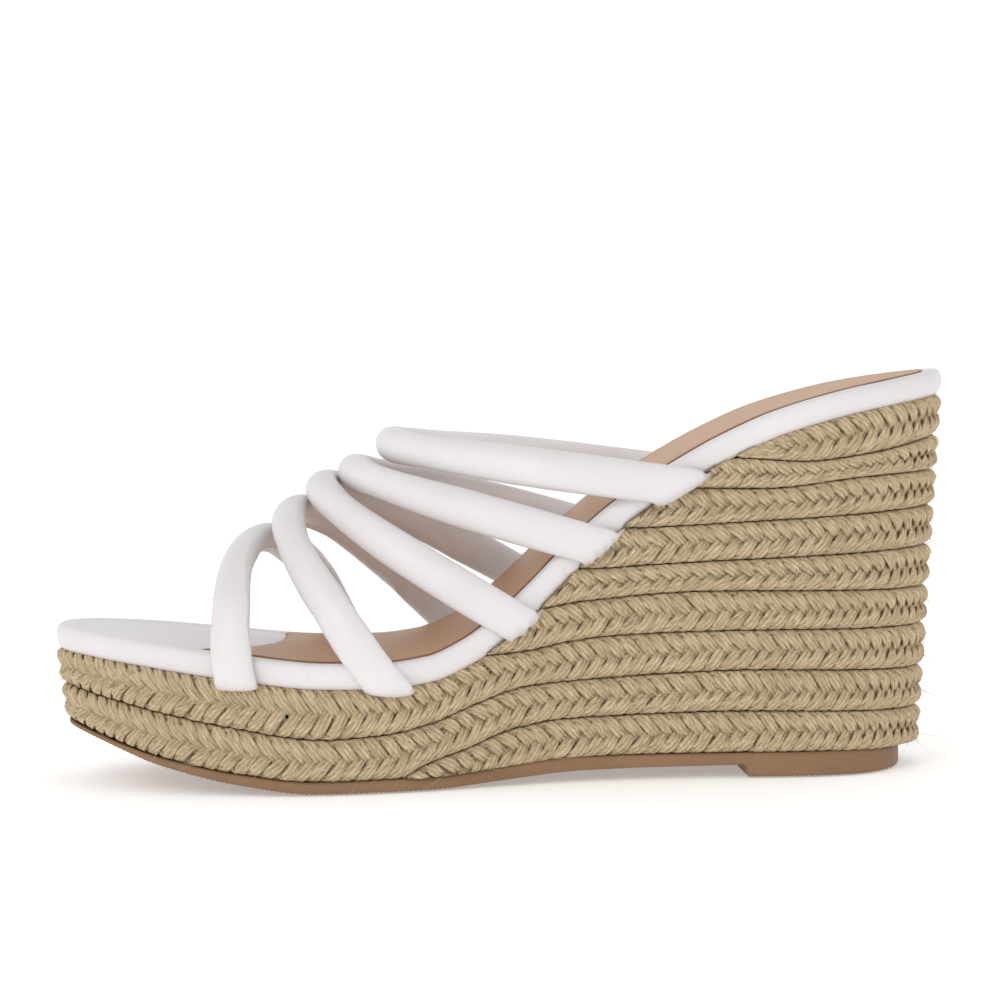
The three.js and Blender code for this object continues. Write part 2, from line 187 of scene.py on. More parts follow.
def inward(ring):
    """Unit normals of a ring that runs toe, near side, heel, far side, pointing into it."""
    tangent = np.roll(ring, -1, axis=0) - np.roll(ring, 1, axis=0)
    tangent /= np.linalg.norm(tangent, axis=1, keepdims=True)
    return np.stack([-tangent[:, 1], tangent[:, 0]], axis=1)


def heel_share(x):
    """From 0 where the heel starts to lean to 1 at its back."""
    return np.clip((x - LEAN_START_X) / (HEEL_X - LEAN_START_X), 0, 1)


def toe_share(x):
    """From 0 where the toe starts to lean to 1 at its tip."""
    return np.clip((TOE_LEAN_END_X - x) / (TOE_LEAN_END_X - TOE_X), 0, 1)


def lean_ends(points, heel_lean=HEEL_LEAN):
    """Moves the ends of the wedge towards its middle, more at the ground than at the top."""
    x, y, z = points.T
    heel_drop = np.maximum(LEAN_TOP_Z - z, 0)
    toe_drop = np.maximum(TOE_LEAN_TOP_Z - z, 0)
    leaning = x - heel_lean * heel_drop * heel_share(x) + TOE_LEAN * toe_drop * toe_share(x)
    return np.column_stack([leaning, y, z])


def smoothstep(value, low, high):
    """From 0 at low to 1 at high, with a soft start and end."""
    t = np.clip((value - low) / (high - low), 0, 1)
    return t * t * (3 - 2 * t)


def waves(seed, *places):
    """Smooth noise from -1 to 1: a sum of sines with seeded directions and phases."""
    generator = np.random.default_rng(seed)
    total = 0
    for _ in range(6):
        angle = generator.uniform(0, 2 * math.pi)
        for place in places:
            angle = angle + place * generator.uniform(0.6, 1.4) * generator.choice((-1, 1))
        total = total + np.sin(angle)
    return total / 6


# ------------------------------------------------------------ meshes
shank_low, shank_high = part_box("steel_shank")
shift = (Vector(shank_low) + Vector(shank_high)).to_2d() / 2 - Vector(SHANK_MIDDLE * MM)


def make_mesh(name, points, faces, material, attributes=None, merge=False):
    """A piece on the root body from points in design millimetres."""
    placed = points * MM + np.array([shift.x, shift.y, 0.0])
    mesh = bpy.data.meshes.new(name)
    mesh.from_pydata(placed.tolist(), [], faces)
    for key, values in (attributes or {}).items():
        layer = mesh.attributes.new(key, "FLOAT", "POINT")
        layer.data.foreach_set("value", np.asarray(values, np.float32).ravel())
    if merge:
        edit = bmesh.new()
        edit.from_mesh(mesh)
        bmesh.ops.remove_doubles(edit, verts=edit.verts, dist=1e-6)
        bmesh.ops.recalc_face_normals(edit, faces=edit.faces)
        edit.to_mesh(mesh)
        edit.free()
    mesh.validate()
    mesh.shade_smooth()
    mesh.materials.append(material)
    piece = bpy.data.objects.new(name, mesh)
    bpy.context.scene.collection.objects.link(piece)
    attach(piece, ROOT)
    return piece


def ring_faces(rings, sides, closed=False, offset=0):
    """Quads between rings of points; closed joins the last ring to the first."""
    i = np.arange(rings if closed else rings - 1)[:, None]
    j = np.arange(sides)[None, :]
    a = i * sides + j
    b = i * sides + (j + 1) % sides
    c = (i + 1) % rings * sides + (j + 1) % sides
    d = (i + 1) % rings * sides + j
    return (np.stack([a, b, c, d], axis=-1).reshape(-1, 4) + offset).tolist()


def end_caps(rings, sides, offset=0):
    """The two polygons that close a tube."""
    first = [offset + j for j in reversed(range(sides))]
    last = [offset + (rings - 1) * sides + j for j in range(sides)]
    return [first, last]


# ------------------------------------------------------------ materials
class Nodes:
    """Short calls that add shader nodes to one new material."""

    def __init__(self, name):
        self.material = bpy.data.materials.new(name)
        self.material.use_nodes = True
        self.tree = self.material.node_tree
        self.shader = self.tree.nodes["Principled BSDF"]

    def link(self, source, target):
        self.tree.links.new(source, target)

    def node(self, kind, inputs=None, **settings):
        node = self.tree.nodes.new(kind)
        for key, value in settings.items():
            setattr(node, key, value)
        for key, value in (inputs or {}).items():
            if isinstance(value, bpy.types.NodeSocket):
                self.link(value, node.inputs[key])
            else:
                node.inputs[key].default_value = value
        return node

    def place(self):
        return self.node("ShaderNodeTexCoord").outputs["Object"]

    def attribute(self, name):
        return self.node("ShaderNodeAttribute", attribute_name=name).outputs["Fac"]

    def noise(self, vector, scale, detail=3.0, roughness=0.5):
        values = {"Vector": vector, "Scale": scale, "Detail": detail, "Roughness": roughness}
        return self.node("ShaderNodeTexNoise", values).outputs["Fac"]

    def stretch(self, vector, scale):
        return self.node("ShaderNodeMapping", {"Vector": vector, "Scale": scale}).outputs["Vector"]

    def combine(self, x, y, z=0.0):
        return self.node("ShaderNodeCombineXYZ", {"X": x, "Y": y, "Z": z}).outputs["Vector"]

    def math(self, operation, a, b=0.0):
        node = self.node("ShaderNodeMath", operation=operation)
        for socket, value in zip(node.inputs, (a, b)):
            if isinstance(value, bpy.types.NodeSocket):
                self.link(value, socket)
            else:
                socket.default_value = value
        return node.outputs[0]

    def ramp(self, factor, stops):
        node = self.node("ShaderNodeValToRGB", {"Fac": factor})
        ramp = node.color_ramp
        while len(ramp.elements) < len(stops):
            ramp.elements.new(0.5)
        for element, (position, color) in zip(ramp.elements, stops):
            element.position = position
            element.color = (*color, 1.0)
        return node.outputs["Color"]

    def spread(self, factor, low, high):
        """The factor's 0 to 1 as a range from low to high."""
        values = {"Value": factor, "To Min": low, "To Max": high}
        return self.node("ShaderNodeMapRange", values).outputs["Result"]

    def mix(self, factor, a, b, blend="MIX"):
        node = self.node("ShaderNodeMix", data_type="RGBA", blend_type=blend)
        for key, value in (("Factor_Float", factor), ("A_Color", a), ("B_Color", b)):
            socket = next(s for s in node.inputs if s.identifier == key)
            if isinstance(value, bpy.types.NodeSocket):
                self.link(value, socket)
            else:
                socket.default_value = (*value, 1.0) if isinstance(value, tuple) else value
        return next(s for s in node.outputs if s.identifier == "Result_Color")

    def bump(self, height, distance, strength=1.0, normal=None):
        values = {"Height": height, "Distance": distance, "Strength": strength}
        if normal is not None:
            values["Normal"] = normal
        return self.node("ShaderNodeBump", values).outputs["Normal"]

    def finish(self, color=None, roughness=None, normal=None, plain=()):
        for key, value in (("Base Color", color), ("Roughness", roughness), ("Normal", normal)):
            if value is None:
                continue
            if isinstance(value, bpy.types.NodeSocket):
                self.link(value, self.shader.inputs[key])
            else:
                self.shader.inputs[key].default_value = (*value, 1.0) if isinstance(value, tuple) else value
        for key, value in plain:
            self.shader.inputs[key].default_value = value
        return self.material


def white_leather():
    """Soft white synthetic leather with a fine grain."""
    n = Nodes("white_leather")
    place = n.place()
    cells = n.node("ShaderNodeTexVoronoi", {"Vector": place, "Scale": 1500.0}, feature="DISTANCE_TO_EDGE")
    grain = n.noise(place, 900.0, 4.0)
    cloud = n.noise(place, 45.0, 2.0)
    color = n.ramp(cloud, [(0.3, (0.72, 0.69, 0.692)), (0.7, (0.77, 0.74, 0.742))])
    rough = n.spread(grain, 0.34, 0.5)
    fine = n.bump(cells.outputs["Distance"], 0.00006, 0.35)
    normal = n.bump(grain, 0.00005, 0.4, fine)
    return n.finish(color, rough, normal, [("IOR", 1.48)])


def sock_leather():
    """Smooth tan lining, darker and redder along its cut edge."""
    n = Nodes("tan_lining_leather")
    place = n.place()
    edge = n.attribute("edge")
    grain = n.noise(place, 1400.0, 4.0)
    cloud = n.noise(place, 60.0, 3.0)
    base = n.ramp(cloud, [(0.3, (0.535, 0.32, 0.182)), (0.7, (0.565, 0.342, 0.2))])
    color = n.mix(edge, base, (0.17, 0.062, 0.028))
    rough = n.spread(grain, 0.42, 0.58)
    return n.finish(color, rough, n.bump(grain, 0.00005, 0.5), [("IOR", 1.46)])


def jute():
    """Dry jute yarn: streaks of fibre along each yarn, and painted shade in the furrows between yarns."""
    n = Nodes("jute_yarn")
    along = n.attribute("along")
    around = n.attribute("around")
    tone = n.attribute("tone")
    ridge = n.attribute("ridge")
    broad = n.noise(n.combine(n.math("MULTIPLY", along, 0.14), around, tone), 1.6, 4.0, 0.7)
    hairs = n.noise(n.combine(n.math("MULTIPLY", along, 0.05), around, tone), 6.0, 3.0, 0.7)
    patch = n.noise(n.place(), 110.0, 3.0)
    stain = n.noise(n.place(), 420.0, 2.0)
    straw = n.ramp(broad, [
        (0.28, (0.34, 0.235, 0.125)),
        (0.42, (0.64, 0.49, 0.29)),
        (0.58, (0.84, 0.675, 0.44)),
        (0.72, (0.95, 0.84, 0.62)),
    ])
    streaked = n.mix(n.spread(hairs, 0.0, 0.5), straw, (0.90, 0.79, 0.60))
    patched = n.mix(n.spread(patch, 0.0, 0.4), streaked, (0.70, 0.57, 0.37), "MULTIPLY")
    fleck = n.ramp(stain, [(0.66, (0, 0, 0)), (0.74, (0.5, 0.5, 0.5))])
    flecked = n.mix(fleck, patched, (0.42, 0.22, 0.08))
    # Painted shade: the inner side of each yarn, where it faces the furrows beside its neighbours, is mixed
    # towards dark brown
    painted_furrow_shade = n.ramp(ridge, [(0.1, (0.85, 0.85, 0.85)), (0.75, (0, 0, 0))])
    color = n.mix(painted_furrow_shade, flecked, (0.20, 0.135, 0.075))
    normal = n.bump(hairs, 0.0004, 0.9, n.bump(broad, 0.0008, 0.9))
    return n.finish(color, 0.9, normal, [("Specular IOR Level", 0.2)])


def fuzz_fibre():
    """Loose pale fibres that stand off the braid."""
    n = Nodes("jute_fuzz_fibre")
    shade = n.noise(n.place(), 120.0, 2.0)
    color = n.ramp(shade, [(0.3, (0.50, 0.40, 0.27)), (0.7, (0.74, 0.64, 0.49))])
    return n.finish(color, 0.8)


def rubber():
    """Tan-brown moulded rubber with a fine matte texture and light scuffs."""
    n = Nodes("outsole_rubber")
    place = n.place()
    grain = n.noise(place, 1100.0, 3.0)
    cloud = n.noise(place, 38.0, 3.0)
    scuff = n.noise(n.stretch(place, (1.0, 6.0, 6.0)), 160.0, 4.0)
    base = n.ramp(cloud, [(0.3, (0.19, 0.098, 0.045)), (0.7, (0.25, 0.136, 0.064))])
    color = n.mix(n.spread(scuff, 0.0, 0.22), base, (0.40, 0.28, 0.17))
    rough = n.spread(scuff, 0.5, 0.72)
    return n.finish(color, rough, n.bump(grain, 0.00006, 0.5))


def foam(name, low, high, scale):
    """Cellular foam or stuffing in two shades of one colour."""
    n = Nodes(name)
    place = n.place()
    cells = n.node("ShaderNodeTexVoronoi", {"Vector": place, "Scale": scale})
    color = n.ramp(cells.outputs["Distance"], [(0.1, low), (0.7, high)])
    return n.finish(color, 0.92, n.bump(cells.outputs["Distance"], 0.0002, 0.6))


def board():
    """Pressed fibreboard with short fibres lying every way."""
    n = Nodes("fibreboard")
    fibres = n.noise(n.stretch(n.place(), (1.0, 3.0, 1.0)), 500.0, 5.0, 0.7)
    color = n.ramp(fibres, [(0.3, (0.30, 0.20, 0.11)), (0.7, (0.50, 0.37, 0.23))])
    return n.finish(color, 0.85, n.bump(fibres, 0.0001, 0.5))


def shank_steel():
    """Rolled spring steel with lines along the strip."""
    n = Nodes("shank_steel")
    lines = n.noise(n.stretch(n.place(), (0.05, 4.0, 1.0)), 900.0, 3.0)
    color = n.ramp(lines, [(0.3, (0.24, 0.24, 0.25)), (0.7, (0.42, 0.42, 0.43))])
    return n.finish(color, n.spread(lines, 0.25, 0.45), n.bump(lines, 0.00003, 0.5), [("Metallic", 1.0)])


LEATHER = white_leather()
SOCK = sock_leather()
JUTE = jute()
FUZZ = fuzz_fibre()
RUBBER = rubber()
STUFFING = foam("strap_stuffing", (0.62, 0.60, 0.56), (0.85, 0.83, 0.80), 900.0)


# ------------------------------------------------------------ layers that follow the outline
STATIONS = 150
EVEN_SPACING = 0.55  # from 0, stations crowded at the toe and the heel, to 1, evenly spaced
END_ROOM = 24.0  # the middle line of a layer stops this far from the toe and the heel


def split_outline(inset, heel_cut=0.0, stations=STATIONS):
    """The outline moved in by inset: toe tip, near side, heel tip, far side back to the toe.

    Points i and -i lie across from each other, so a ring can close along its middle line.
    """
    ring = outline + inward(outline) * inset
    ring[:, 0] -= heel_cut * heel_share(ring[:, 0]) ** 2
    ring = np.roll(ring, -int(np.argmin(ring[:, 0])), axis=0)
    heel = int(np.argmax(ring[:, 0]))
    near = ring[: heel + 1]
    far = np.vstack([ring[heel:], ring[:1]])[::-1]
    share = np.linspace(0, 1, stations + 1)
    share = EVEN_SPACING * share + (1 - EVEN_SPACING) * (0.5 - 0.5 * np.cos(math.pi * share))
    toe_x, heel_x = ring[0, 0], ring[heel, 0]
    x = toe_x + (heel_x - toe_x) * share
    near_y = np.interp(x, near[:, 0], near[:, 1])
    far_y = np.interp(x, far[:, 0], far[:, 1])
    return np.vstack([np.stack([x, near_y], axis=1), np.stack([x, far_y], axis=1)[-2:0:-1]])


def middle_line(ring):
    """For each point of a ring, the point on the middle line that it shrinks towards."""
    across = ring[(-np.arange(len(ring))) % len(ring)]
    x = np.clip(ring[:, 0], TOE_X + END_ROOM, HEEL_X - END_ROOM)
    y = (ring[:, 1] + across[:, 1]) / 2
    ends = (ring[:, 0] < TOE_X + END_ROOM) | (ring[:, 0] > HEEL_X - END_ROOM)
    end_y = (far_half_width(x) - near_half_width(x)) / 2
    return np.stack([x, np.where(ends, end_y, y)], axis=1)


def layer_piece(name, material, edge, fill_shares, height, heel_cut=0.0, stations=STATIONS, bend=None):
    """A closed piece that follows the outline.

    Edge holds (inset, level) from the piece's underside round its side to its top. Height turns
    plan points and a level into Z. The surface then runs in to the middle line, below and above.
    """
    first, last = edge[0], edge[-1]
    plans = [(split_outline(inset, heel_cut, stations), level) for inset, level in edge]
    under = [(shrink(plans[0][0], share), first[1]) for share in reversed(fill_shares)]
    over = [(shrink(plans[-1][0], share), last[1]) for share in fill_shares]
    rings = [np.column_stack([plan, height(plan, level)]) for plan, level in under + plans + over]
    faces = ring_faces(len(rings), len(rings[0]))
    points = np.concatenate(rings)
    return make_mesh(name, points if bend is None else bend(points), faces, material, merge=True)


def shrink(ring, share):
    """A ring moved a share of the way to its middle line."""
    return ring + (middle_line(ring) - ring) * share


def square_height(x, level):
    """Z at a place along the shoe of the surface that lies at a level above the footbed's underside."""
    foot = np.array(x, float)
    for _ in range(3):
        slope = footbed_underside(foot + 0.5) - footbed_underside(foot - 0.5)
        foot = x + level * slope / np.hypot(1, slope)
    slope = footbed_underside(foot + 0.5) - footbed_underside(foot - 0.5)
    return footbed_underside(foot) + level / np.hypot(1, slope)


# ------------------------------------------------------------ footbed
SOCK_LEVEL = FOOTBED_THICKNESS - 0.05
SOCK_FRONT = ((-97, -45), (-51, -14), (-58, 45))  # control points of the lining's front edge
FOOTBED_EDGE = [  # inset and height of the wrap's puffed rim, from its underside to its top
    (9.0, 0.0), (5.0, 0.0), (2.2, 0.0), (1.2, 0.3), (0.5, 0.9), (0.0, 1.8), (-0.25, 2.8), (-0.3, 3.8),
    (-0.15, 4.8), (0.15, 5.6), (0.6, 6.2), (1.2, 6.55), (2.0, 6.7), (3.2, 6.68), (4.2, 6.55),
    (SOCK_INSET, 6.38), (SOCK_INSET + 0.7, 6.28), (SOCK_INSET + 2.5, 6.25),
]


def footbed():
    """The stitched wrap round the board and foam: a puffed rim and a plain border."""

    def height(plan, level):
        ripple = 0.14 * waves(3, plan[:, 0] / 9, plan[:, 1] / 9) + 0.05 * waves(4, plan[:, 0] / 2.6)
        return square_height(plan[:, 0], level) + ripple * (level / FOOTBED_THICKNESS)

    shares = [0.15, 0.35, 0.6, 0.8, 1.0]
    piece = layer_piece("footbed", LEATHER, FOOTBED_EDGE, shares, height, stations=260)
    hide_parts("footbed_wrap")


def bezier(p0, p1, p2, t):
    """Points at the shares t of a quadratic Bezier curve."""
    p0, p1, p2 = (np.array(p, float) for p in (p0, p1, p2))
    t = np.asarray(t)[..., None]
    return (1 - t) ** 2 * p0 + 2 * t * (1 - t) * p1 + t**2 * p2


def sock_lining():
    """The lining under the foot, with a slanted curved front edge and a burnished rim."""
    rows, columns = 200, 60
    ring = split_outline(SOCK_INSET, stations=2000)
    half = len(ring) // 2
    near, far = ring[: half + 1], ring[np.r_[0, len(ring) - 1:half - 1:-1]]
    front = bezier(*SOCK_FRONT, np.linspace(0, 1, 400))
    inside = (front[:, 1] > np.interp(front[:, 0], near[:, 0], near[:, 1])) & (
        front[:, 1] < np.interp(front[:, 0], far[:, 0], far[:, 1]))
    front = front[inside]
    heel_x = ring[half, 0]
    shares = 1 - (1 - np.linspace(0, 1, rows)) ** 2
    across = (1 - np.cos(np.linspace(0, math.pi, columns))) / 2
    fine = resample(front, columns * 4, closed=False)
    fine_share = np.linspace(0, 1, len(fine))
    start = np.stack([np.interp(across, fine_share, fine[:, k]) for k in (0, 1)], axis=1)
    plan, rim = [], []
    for share in shares:
        near_x = start[0, 0] + (heel_x - start[0, 0]) * share
        far_x = start[-1, 0] + (heel_x - start[-1, 0]) * share
        a = np.array([near_x, np.interp(near_x, near[:, 0], near[:, 1])])
        b = np.array([far_x, np.interp(far_x, far[:, 0], far[:, 1])])
        line = a + (b - a) * across[:, None]
        straight = start[0] + (start[-1] - start[0]) * across[:, None]
        bow = (start - straight) * max(0.0, 1 - share / 0.25) ** 2
        plan.append(line + bow)
        width = np.linalg.norm(b - a)
        side = np.minimum(across, 1 - across) * width
        ahead = share * (heel_x - start[0, 0])
        rim.append(np.minimum(side, ahead))
    plan = np.concatenate(plan)
    rim = np.concatenate(rim)
    plump = SOCK_THICKNESS * (1 - np.exp(-rim / 0.25))
    top = square_height(plan[:, 0], SOCK_LEVEL + plump)
    bottom = square_height(plan[:, 0], SOCK_LEVEL - 0.5)
    points = np.vstack([np.column_stack([plan, top]), np.column_stack([plan, bottom])])
    faces = sheet_faces(rows, columns)
    burnish = np.tile(np.exp(-rim / 0.9), 2)
    piece = make_mesh("sock", points, faces, SOCK, {"edge": burnish}, merge=True)
    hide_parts("sock_lining")


def sheet_faces(rows, columns):
    """Faces of a closed slab: an upper grid, a lower grid and the rim that joins them."""
    faces = []
    lower = rows * columns
    for i in range(rows - 1):
        for j in range(columns - 1):
            a, b = i * columns + j, i * columns + j + 1
            c, d = (i + 1) * columns + j + 1, (i + 1) * columns + j
            faces.append((a, b, c, d))
            faces.append((lower + d, lower + c, lower + b, lower + a))
    rim = list(range(columns))
    rim += [i * columns + columns - 1 for i in range(1, rows)]
    rim += [(rows - 1) * columns + j for j in range(columns - 2, -1, -1)]
    rim += [i * columns for i in range(rows - 2, 0, -1)]
    for a, b in zip(rim, rim[1:] + rim[:1]):
        faces.append((a, lower + a, lower + b, b))
    return faces


# ------------------------------------------------------------ outsole
TREAD_PITCH = 1.25
TREAD_DEPTH = 0.4


def outsole():
    """A thin moulded sole with a stepped heel pad and a fine ribbed tread."""

    def ground(x):
        on_pad = smoothstep(x, HEEL_PAD_FRONT - 0.2, HEEL_PAD_FRONT + 0.9)
        return outsole_underside(np.minimum(x, 61.0)) * (1 - on_pad)

    def height(plan, level):
        x = plan[:, 0]
        low, high = ground(x), outsole_top(x)
        worn = smoothstep(x, -26, -10) * (1 - smoothstep(x, 55, HEEL_PAD_FRONT))
        rib = TREAD_DEPTH * (1 - worn) * (0.5 - 0.5 * np.cos(2 * math.pi * x / TREAD_PITCH)) ** 2
        return low + (high - low) * level + rib * max(0.0, 1 - level / 0.14)

    edge = [
        (3.0, 0.0), (0.5, 0.0), (0.14, 0.06), (0.0, 0.15), (0.0, 0.5), (0.06, 0.82), (0.35, 0.96),
        (0.9, 1.0), (6.0, 1.0),
    ]
    edge = [(OUTSOLE_SET_IN + inset, level) for inset, level in edge]

    def lean(points):
        return lean_ends(points, heel_lean=0.0)

    piece = layer_piece("sole", RUBBER, edge, [0.4, 1.0], height, HEEL_PAD_SET_IN, 800, lean)
    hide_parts("outsole")


# ------------------------------------------------------------ braid
PLAIT_PERIOD = 20.0  # one strand crosses the braid and comes back in this length
PLAIT_STEPS = 22  # rings of a yarn in one period
STRANDS = 5
YARNS = 3  # yarns side by side in a strand
YARN_RADIUS = 0.66
YARN_SIDES = 7
YARN_SPACING = 0.95
PLAIT_DEPTH = 1.1  # how far a strand swings in and out
PLAIT_SET_IN = 1.2  # depth of the braid's middle inside the footbed's outline
ROW_ROUNDNESS = 1.5  # the edges of a row curve in by this much
JOINT_GAP = 0.12  # from a row to the joint with its neighbour
SEAM_DEPTH = 0.75  # strands dip where they meet along the middle of a row
SHARPNESS = 0.96  # from 0, a strand sways gently, to 1, it runs straight from edge to edge
FIRST_ROW_WIDTH = 10.4


def row_band(index, x):
    """Lower and upper edge of a braid row."""
    under = footbed_underside(x) + 0.4
    sole = outsole_top(x)
    if index in FULL_ROWS:
        return np.maximum(row_joints[index - 1](x), sole), np.minimum(row_joints[index](x), under)
    if index == 0:
        upper = row_joints[0](x)
        return np.minimum(sole, upper - FIRST_ROW_WIDTH), upper
    lower = row_joints[index - 1](x)
    if index == ROW_COUNT - 1:
        return lower, np.maximum(under, lower + 4.0)
    return lower, row_joints[index](x)


def row_shows(index, x):
    """Where some of a row stands between the outsole and the footbed."""
    lower, upper = row_band(index, x)
    top = np.minimum(upper, footbed_underside(x))
    bottom = np.maximum(lower, outsole_top(x))
    return top - bottom > 0.4


def row_path(index):
    """Plan points along a row, from its near end round the heel to its far end, with normals."""
    ring = np.roll(outline, -int(np.argmin(outline[:, 0])), axis=0)
    ring = resample(ring, 2400, closed=True)
    normal = inward(ring)
    if index in FULL_ROWS:
        ring = np.vstack([ring, ring[:1]])
        return ring, np.vstack([normal, normal[:1]])
    keep = np.flatnonzero(row_shows(index, ring[:, 0]) & (ring[:, 0] > -40))
    return ring[keep[0]: keep[-1] + 1], normal[keep[0]: keep[-1] + 1]


def yarn_line(index, strand, yarn, path, normal):
    """Centre of one yarn along a row, with the outward and across directions of its strand."""
    lengths = np.concatenate([[0], np.cumsum(np.linalg.norm(np.diff(path, axis=0), axis=1))])
    turns = max(2, round(lengths[-1] / PLAIT_PERIOD))
    steps = turns * PLAIT_STEPS
    share = np.linspace(0, 1, steps + 1)
    place = share * lengths[-1]
    plan = np.stack([np.interp(place, lengths, path[:, k]) for k in (0, 1)], axis=1)
    out = -np.stack([np.interp(place, lengths, normal[:, k]) for k in (0, 1)], axis=1)
    out /= np.linalg.norm(out, axis=1, keepdims=True)
    lower, upper = row_band(index, plan[:, 0])
    half = (upper - lower) / 2
    phase = 2 * math.pi * (share * turns + strand / STRANDS)
    seed = 100 * index + 10 * strand
    sway = 0.3 * waves(seed, place / 3.1)
    swing = np.maximum(half - 0.4, 0.6)
    rise = swing * np.arcsin(SHARPNESS * np.sin(phase + sway)) / math.asin(SHARPNESS)
    bulge = -PLAIT_DEPTH * np.sin(2 * phase)
    seam = SEAM_DEPTH * np.exp(-(rise / 1.1) ** 2)
    depth = bulge - seam - PLAIT_SET_IN
    centre = np.column_stack([plan + out * depth[:, None], (lower + upper) / 2 + rise])
    along = np.gradient(centre, axis=0)
    along /= np.linalg.norm(along, axis=1, keepdims=True)
    outward = np.column_stack([out, np.zeros(len(out))])
    outward -= along * np.sum(outward * along, axis=1, keepdims=True)
    outward /= np.linalg.norm(outward, axis=1, keepdims=True)
    across = np.cross(along, outward)
    aside = (yarn - (YARNS - 1) / 2) * YARN_SPACING + 0.1 * waves(seed + yarn + 1, place / 2.3)
    lift = -0.28 * (yarn != 1) + 0.1 * waves(seed + yarn + 5, place / 2.9)
    centre = centre + across * aside[:, None] + outward * lift[:, None]
    return centre, along, outward, across, out, place


def press_into_row(index, points, out):
    """Gives a row straight joints and a rounded face, and keeps it between sole and footbed."""
    x, z = points[:, 0], points[:, 2]
    lower, upper = row_band(index, x)
    middle, half = (lower + upper) / 2, (upper - lower) / 2
    z = np.clip(z, lower + JOINT_GAP, upper - JOINT_GAP)
    z = np.clip(z, outsole_top(x) - 0.1, footbed_underside(x) + 0.5)
    inward_by = ROW_ROUNDNESS * np.abs((z - middle) / half) ** 5
    return np.column_stack([points[:, :2] - out * inward_by[:, None], z])


def yarn_tube(index, strand, yarn, path, normal):
    """Points and attributes of one yarn's closed tube."""
    centre, along, outward, across, out, place = yarn_line(index, strand, yarn, path, normal)
    angles = np.linspace(0, 2 * math.pi, YARN_SIDES, endpoint=False) - math.pi / 2
    seed = 1000 + 100 * index + 10 * strand + yarn
    radius = YARN_RADIUS * (1 + 0.09 * waves(seed, place / 1.1))
    ring = across[:, None, :] * np.cos(angles)[None, :, None]
    ring = ring + outward[:, None, :] * np.sin(angles)[None, :, None]
    points = centre[:, None, :] + ring * radius[:, None, None]
    points = press_into_row(index, points.reshape(-1, 3), np.repeat(out, YARN_SIDES, axis=0))
    count = len(centre)
    tone = 0.5 + 0.5 * waves(seed + 7, place / 14)
    sides = np.linspace(0, 1, YARN_SIDES, endpoint=False)
    attributes = {
        "along": np.repeat(place, YARN_SIDES),
        "around": (sides[None, :] * 4.6 + place[:, None] * 0.55).ravel(),
        "tone": np.repeat(tone, YARN_SIDES) + (strand * YARNS + yarn) * 3.7,
        # ridge runs from 0 on a yarn's inner side to 1 on its outer side; the jute material paints shade
        # where it is low
        "ridge": np.tile(0.5 + 0.5 * np.sin(angles), count),
    }
    points = lean_ends(points)
    front = np.arange(count) * YARN_SIDES + YARN_SIDES // 2
    hair_roots.append(np.hstack([points[front], outward, along]))
    return points, attributes, count


def braid_row(index):
    """One row of plait, each strand made of yarns that lie side by side."""
    path, normal = row_path(index)
    points, faces, attributes, offset = [], [], {}, 0
    for strand in range(STRANDS):
        for yarn in range(YARNS):
            tube, values, rings = yarn_tube(index, strand, yarn, path, normal)
            points.append(tube)
            faces += ring_faces(rings, YARN_SIDES, offset=offset)
            faces += end_caps(rings, YARN_SIDES, offset=offset)
            for key, value in values.items():
                attributes.setdefault(key, []).append(value)
            offset += len(tube)
    attributes = {key: np.concatenate(value) for key, value in attributes.items()}
    piece = make_mesh(f"braid_{index + 1}", np.concatenate(points), faces, JUTE, attributes)
    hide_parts(f"jute_row_{index + 1}")


HAIR_COUNT = 5000
HAIR_STEPS = 5
hair_roots = []


def loose_hairs():
    """Fine fibres that stand off the braid or lie across it, each a thin three-sided tube."""
    generator = np.random.default_rng(7)
    roots = np.concatenate(hair_roots)
    chosen = roots[generator.integers(0, len(roots), HAIR_COUNT)]
    root, outward, along = chosen[:, :3], chosen[:, 3:6], chosen[:, 6:]
    loose = generator.random(HAIR_COUNT) ** 3
    length = 1.5 + 5.5 * generator.random(HAIR_COUNT)
    wander = generator.normal(size=(HAIR_COUNT, 3))
    heading = along * generator.choice((-1, 1), HAIR_COUNT)[:, None] + 0.55 * wander
    heading += outward * (0.12 + 1.1 * loose)[:, None]
    heading /= np.linalg.norm(heading, axis=1, keepdims=True)
    curl = generator.normal(size=(HAIR_COUNT, 3)) * 0.45 - outward * 0.25
    share = np.linspace(0, 1, HAIR_STEPS)[None, :, None]
    reach = length[:, None, None] * share
    line = root[:, None, :] + heading[:, None, :] * reach + curl[:, None, :] * reach * share * 0.6
    line -= outward[:, None, :] * 0.12
    side = np.cross(heading, outward)
    side /= np.linalg.norm(side, axis=1, keepdims=True)
    other = np.cross(heading, side)
    radius = generator.uniform(0.035, 0.075, HAIR_COUNT)[:, None, None] * (1.05 - share)
    ring = []
    for angle in (0, 2 * math.pi / 3, 4 * math.pi / 3):
        ring.append(line + radius * (side * math.cos(angle) + other * math.sin(angle))[:, None, :])
    points = np.stack(ring, axis=2).reshape(-1, 3)
    points[:, 2] = np.maximum(points[:, 2], 0.2)
    faces = []
    for i in range(HAIR_COUNT):
        offset = i * HAIR_STEPS * 3
        faces += ring_faces(HAIR_STEPS, 3, offset=offset) + end_caps(HAIR_STEPS, 3, offset)
    piece = make_mesh("jute_hairs", points, faces, FUZZ)


